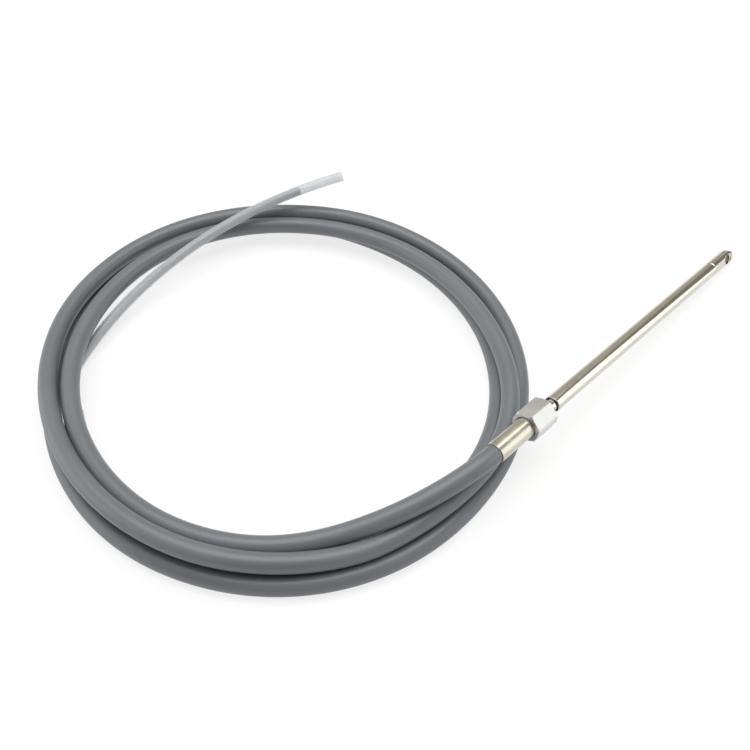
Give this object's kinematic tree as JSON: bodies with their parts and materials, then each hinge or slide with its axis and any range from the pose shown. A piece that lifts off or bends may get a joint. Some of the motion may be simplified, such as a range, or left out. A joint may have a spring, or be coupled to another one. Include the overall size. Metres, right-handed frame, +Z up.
{
  "type": "boat steering cable",
  "caption": "Coiled push-pull steering cable for a boat: grey conduit, sliding steel ram with an eye, coupling nut, and bare helical core in a clear sleeve.",
  "frame": {"origin": "centre of the object's box on the floor that the coil lies on", "axes": "+Z up from the floor, +X towards the ram's side, the object's longest extent, +Y from the front of the coil to its back"},
  "size_m": [0.733, 0.4896, 0.0746],
  "materials": {
    "jacket_plastic": "matt extruded mid-grey plastic",
    "plated_ferrule": "satin nickel plating",
    "polished_tube": "polished stainless steel",
    "blasted_nut": "matt bead-blasted stainless steel",
    "polished_ram": "ground and polished stainless steel",
    "core_steel": "greased helical steel wire",
    "clear_sleeve": "milky clear plastic"
  },
  "bodies": {
    "conduit": {"cable_jacket": "jacket_plastic", "output_ferrule": "plated_ferrule", "support_tube": "polished_tube", "input_ferrule": "plated_ferrule", "steering_core": "core_steel"},
    "ram": {"output_ram": "polished_ram"},
    "nut": {"coupling_nut": "blasted_nut"},
    "sleeve": {"core_sleeve": "clear_sleeve"}
  },
  "joints": [
    {"name": "ram_slide", "type": "slide", "parent": "conduit", "child": "ram", "axis": [0.6892, 0.7174, -0.1021], "range_m": [0, 0.225]},
    {"name": "nut_spin", "type": "hinge", "parent": "conduit", "child": "nut", "pos_m": [0.09599, -0.10029, 0.04693], "axis": [0.6892, 0.7174, -0.1021], "continuous": true},
    {"name": "sleeve_draw", "type": "hinge", "parent": "conduit", "child": "sleeve", "pos_m": [-0.02798, -0.08757, 0.08204], "axis": [0.221, -0.006, -0.9753], "range_deg": [0, 55]}
  ]
}
